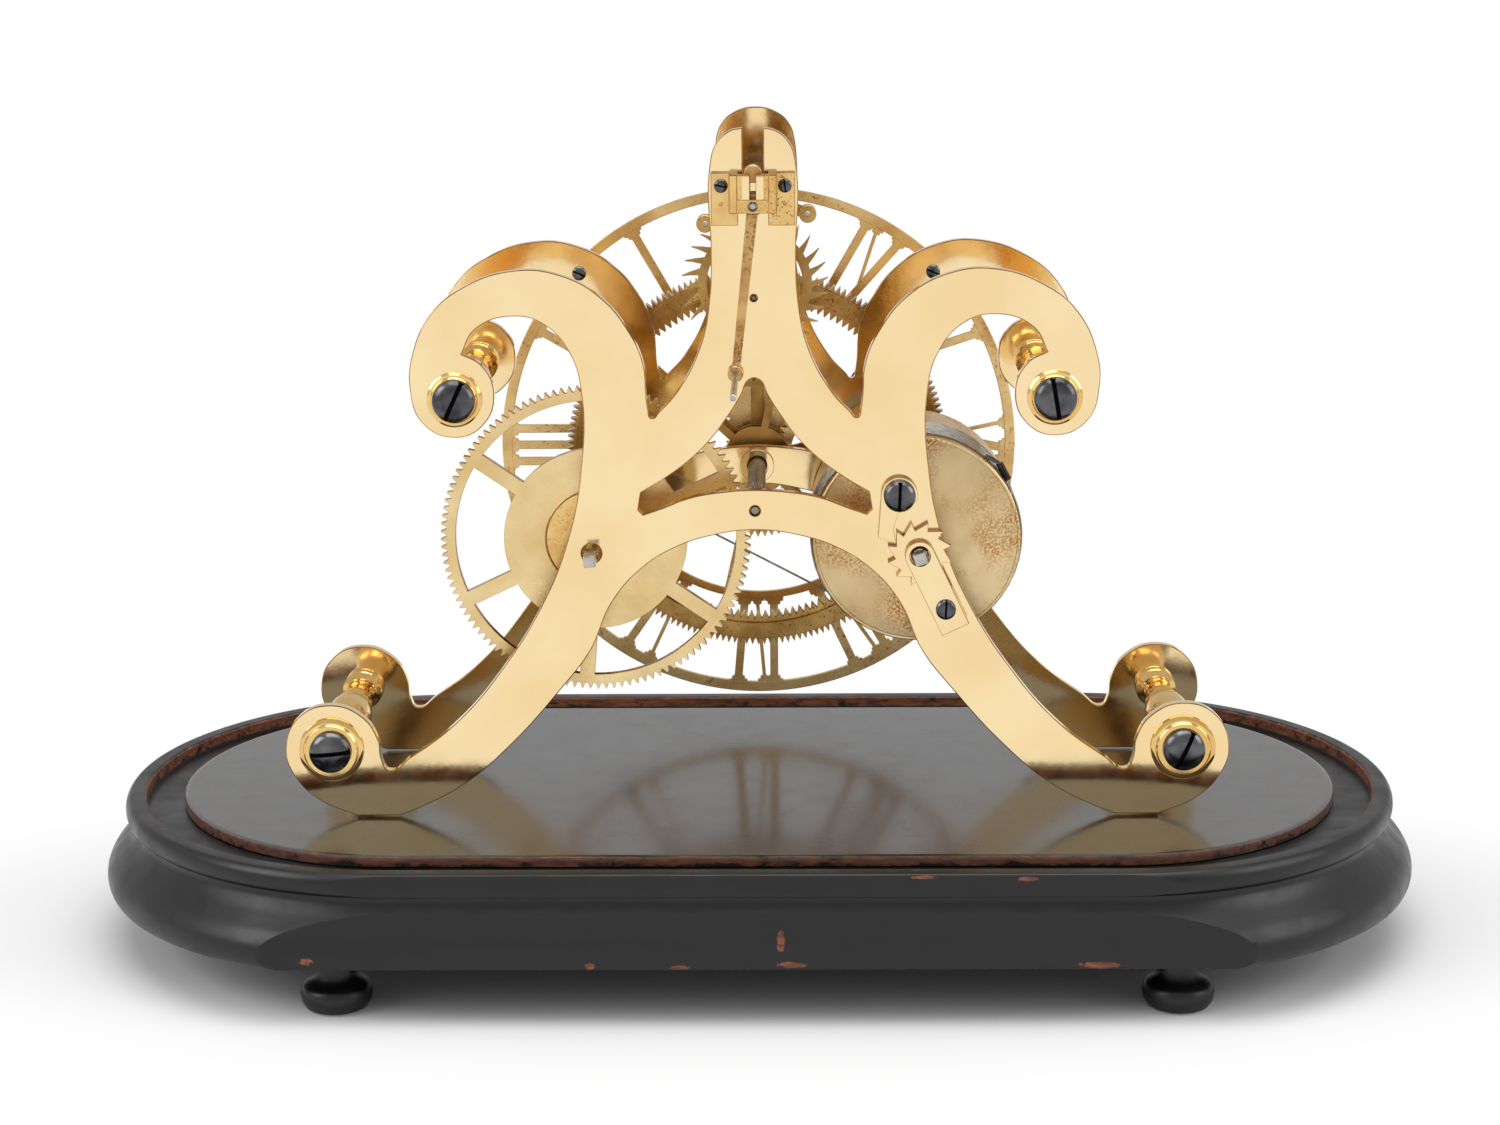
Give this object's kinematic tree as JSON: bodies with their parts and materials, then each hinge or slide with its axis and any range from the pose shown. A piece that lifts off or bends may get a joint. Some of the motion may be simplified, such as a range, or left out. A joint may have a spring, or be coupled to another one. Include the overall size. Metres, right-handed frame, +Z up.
{
  "type": "skeleton clock",
  "caption": "Fusee skeleton clock: pierced scrolled plates on turned pillars carry a spring train and pierced dial over an oval ebonised base.",
  "frame": {"origin": "on the ground under the middle of the oval base", "axes": "+Z up; the dial faces +Y, so the back of the movement faces -Y and +X is on the right for someone behind the clock"},
  "size_m": [0.3748, 0.1762, 0.2324],
  "materials": {
    "brass_plates": "polished and lacquered, no lettering",
    "brass_pillars": "turned and polished",
    "brass_wheels": "polished, slightly dulled",
    "brass_tarnished": "tarnished brown, with spots",
    "brass_dial": "pierced, fine-grained, gilt",
    "steel_arbors": "turned and polished steel",
    "steel_line": "twisted steel wire",
    "steel_blued": "blued steel, near black",
    "spring_steel": "blue tempered spring steel",
    "wood_ebonised": "ebonised, polished, edges worn to brown",
    "wood_board": "stained dark brown, semi-gloss"
  },
  "bodies": {
    "frame": {"base_plinth": "wood_ebonised", "base_board": "wood_board", "base_foot_back_left": "wood_ebonised", "base_foot_back_right": "wood_ebonised", "base_foot_front_left": "wood_ebonised", "base_foot_front_right": "wood_ebonised", "rear_plate": "brass_plates", "front_plate": "brass_plates", "pillar_upper_left": "brass_pillars", "washer_back_upper_left": "brass_pillars", "washer_front_upper_left": "brass_pillars", "pillar_screw_back_upper_left": "steel_blued", "pillar_screw_front_upper_left": "steel_blued", "pillar_upper_right": "brass_pillars", "washer_back_upper_right": "brass_pillars", "washer_front_upper_right": "brass_pillars", "pillar_screw_back_upper_right": "steel_blued", "pillar_screw_front_upper_right": "steel_blued", "pillar_lower_left": "brass_pillars", "washer_back_lower_left": "brass_pillars", "washer_front_lower_left": "brass_pillars", "pillar_screw_back_lower_left": "steel_blued", "pillar_screw_front_lower_left": "steel_blued", "pillar_lower_right": "brass_pillars", "washer_back_lower_right": "brass_pillars", "washer_front_lower_right": "brass_pillars", "pillar_screw_back_lower_right": "steel_blued", "pillar_screw_front_lower_right": "steel_blued", "barrel_arbor": "steel_arbors", "mainspring": "spring_steel", "ratchet_wheel": "brass_wheels", "click_screw": "steel_blued", "ratchet_bridge": "brass_plates", "bridge_screw": "steel_blued", "suspension_cock": "brass_plates", "cock_screw_left": "steel_blued", "cock_screw_right": "steel_blued", "front_cock": "brass_plates", "front_cock_screw": "steel_blued", "sun_wheel": "brass_tarnished", "dial": "brass_dial", "fusee_line": "steel_line", "line_hook": "steel_blued"},
    "ring": {"ring_wheel": "brass_tarnished"},
    "centre": {"centre_arbor": "steel_arbors", "planet_arm": "brass_wheels", "cannon_pinion": "steel_arbors", "minute_hand": "steel_blued"},
    "great": {"great_wheel": "brass_wheels"},
    "planet": {"planet_wheel": "brass_wheels"},
    "escape": {"escape_wheel": "brass_tarnished"},
    "minute": {"minute_wheel": "brass_wheels"},
    "hour": {"hour_wheel": "brass_wheels", "hour_hand": "steel_blued"},
    "fusee": {"fusee": "steel_arbors"},
    "barrel": {"barrel_drum": "brass_wheels", "barrel_cover": "brass_tarnished"},
    "pallets": {"pallets": "steel_arbors", "crutch": "brass_tarnished"},
    "click": {"click": "brass_wheels"}
  },
  "joints": [
    {"name": "ring_wheel_turn", "type": "hinge", "parent": "frame", "child": "ring", "pos_m": [0, 0.0355, 0.129], "axis": [0, 1, 0], "continuous": true},
    {"name": "centre_turn", "type": "hinge", "parent": "frame", "child": "centre", "pos_m": [0, 0.0115, 0.129], "axis": [0, 1, 0], "continuous": true},
    {"name": "great_wheel_turn", "type": "hinge", "parent": "frame", "child": "great", "pos_m": [-0.0444, -0.0195, 0.11739], "axis": [0, 1, 0], "continuous": true},
    {"name": "planet_turn", "type": "hinge", "parent": "centre", "child": "planet", "pos_m": [0.026, 0.0375, 0.129], "axis": [0, 1, 0], "continuous": true},
    {"name": "escape_turn", "type": "hinge", "parent": "frame", "child": "escape", "pos_m": [0, -0.0105, 0.1868], "axis": [0, 1, 0], "continuous": true},
    {"name": "minute_wheel_turn", "type": "hinge", "parent": "frame", "child": "minute", "pos_m": [0, 0.0455, 0.141], "axis": [0, 1, 0], "continuous": true},
    {"name": "hour_turn", "type": "hinge", "parent": "frame", "child": "hour", "pos_m": [0, 0.0515, 0.129], "axis": [0, 1, 0], "continuous": true},
    {"name": "fusee_winding", "type": "hinge", "parent": "great", "child": "fusee", "pos_m": [-0.0444, -0.0025, 0.11739], "axis": [0, 1, 0], "range_deg": [-1980, 0]},
    {"name": "barrel_turn", "type": "hinge", "parent": "frame", "child": "barrel", "pos_m": [0.0444, -0.0085, 0.11739], "axis": [0, 1, 0], "range_deg": [0, 713]},
    {"name": "pallet_swing", "type": "hinge", "parent": "frame", "child": "pallets", "pos_m": [0, -0.0145, 0.2119], "axis": [0, 1, 0], "range_deg": [-2.3, 12.7]},
    {"name": "click_release", "type": "hinge", "parent": "frame", "child": "click", "pos_m": [0.0389, -0.04, 0.1336], "axis": [0, 1, 0], "range_deg": [0, 20]}
  ],
  "couplings": [
    {"joint": "centre_turn", "follows": "ring_wheel_turn", "ratio": 0.17949},
    {"joint": "great_wheel_turn", "follows": "ring_wheel_turn", "ratio": -0.014957},
    {"joint": "planet_turn", "follows": "ring_wheel_turn", "ratio": 1.8462},
    {"joint": "escape_turn", "follows": "ring_wheel_turn", "ratio": -28},
    {"joint": "minute_wheel_turn", "follows": "ring_wheel_turn", "ratio": -0.059829},
    {"joint": "hour_turn", "follows": "ring_wheel_turn", "ratio": 0.014957},
    {"joint": "barrel_turn", "follows": "fusee_winding", "ratio": -0.36}
  ]
}
